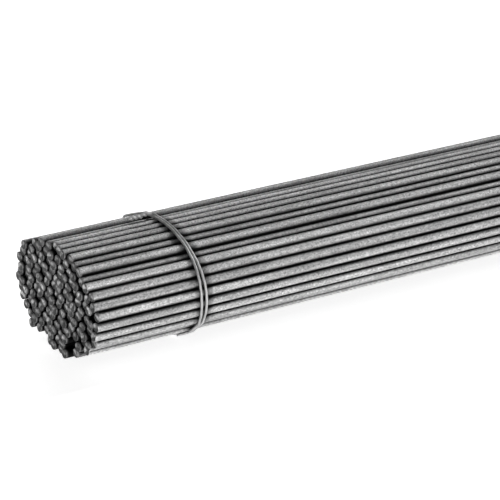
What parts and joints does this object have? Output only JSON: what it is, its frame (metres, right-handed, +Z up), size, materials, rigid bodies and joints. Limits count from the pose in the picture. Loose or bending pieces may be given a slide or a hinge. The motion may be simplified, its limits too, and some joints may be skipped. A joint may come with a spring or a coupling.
{
  "type": "bundle of galvanized steel rods",
  "caption": "Oval bundle of straight round galvanized steel rods lying side by side, held by twisted wire ties.",
  "frame": {"origin": "on the floor, under the middle of the bundle", "axes": "X along the rods, Y across them level with the floor, +Z up; the near end is at -X"},
  "size_m": [1, 0.1068, 0.0756],
  "materials": {
    "galvanized_rod": "satin zinc coating with fine lengthwise streaks, a little dull",
    "tie_wire": "smooth soft galvanized wire"
  },
  "bodies": {
    "root": {"rods_row_1": "galvanized_rod", "rods_row_2": "galvanized_rod", "rods_row_3": "galvanized_rod", "rods_row_4": "galvanized_rod", "rods_row_5": "galvanized_rod", "rods_row_6": "galvanized_rod", "rods_row_7": "galvanized_rod", "rods_row_8": "galvanized_rod", "rods_row_9": "galvanized_rod", "rods_row_10": "galvanized_rod", "rods_row_11": "galvanized_rod", "rods_row_12": "galvanized_rod", "rods_row_13": "galvanized_rod", "rods_row_14": "galvanized_rod", "tie_near": "tie_wire", "tie_far": "tie_wire"}
  },
  "joints": []
}
